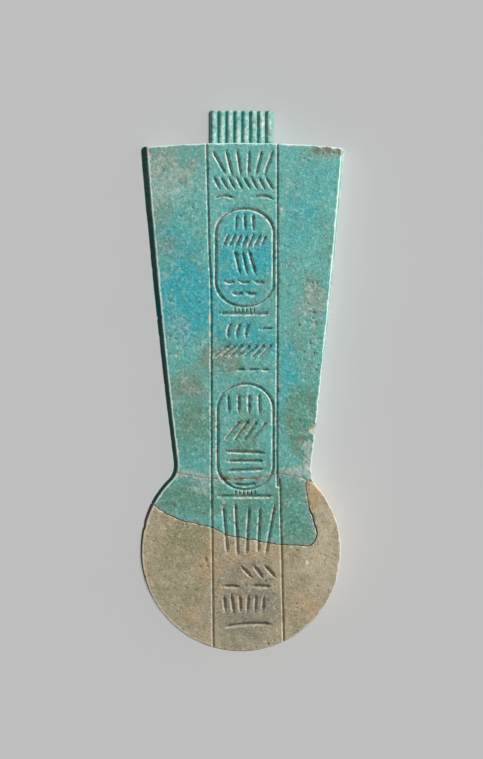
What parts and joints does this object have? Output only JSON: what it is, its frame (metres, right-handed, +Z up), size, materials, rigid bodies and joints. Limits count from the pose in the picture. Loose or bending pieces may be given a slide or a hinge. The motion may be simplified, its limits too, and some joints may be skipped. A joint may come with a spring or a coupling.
{
  "type": "menat counterpoise",
  "caption": "Flat keyhole-shaped faience pendant that hung down the back to balance a bead collar: a flaring blade on a round disc, with a ribbed tab, ruled column and tied oval rings, mended.",
  "frame": {"origin": "on the surface that the pendant lies on, under the middle of its overall length and width", "axes": "+Z up through the carved face, +Y along the pendant towards the ribbed tab, +X to the right of the carved face"},
  "size_m": [0.0533, 0.14, 0.008],
  "materials": {
    "glaze": "worn blue-green faience glaze",
    "buff": "matt, unglazed, granular"
  },
  "bodies": {
    "root": {"glazed_blade": "glaze", "glazed_shoulder": "glaze", "buff_disc_fill": "buff"}
  },
  "joints": []
}
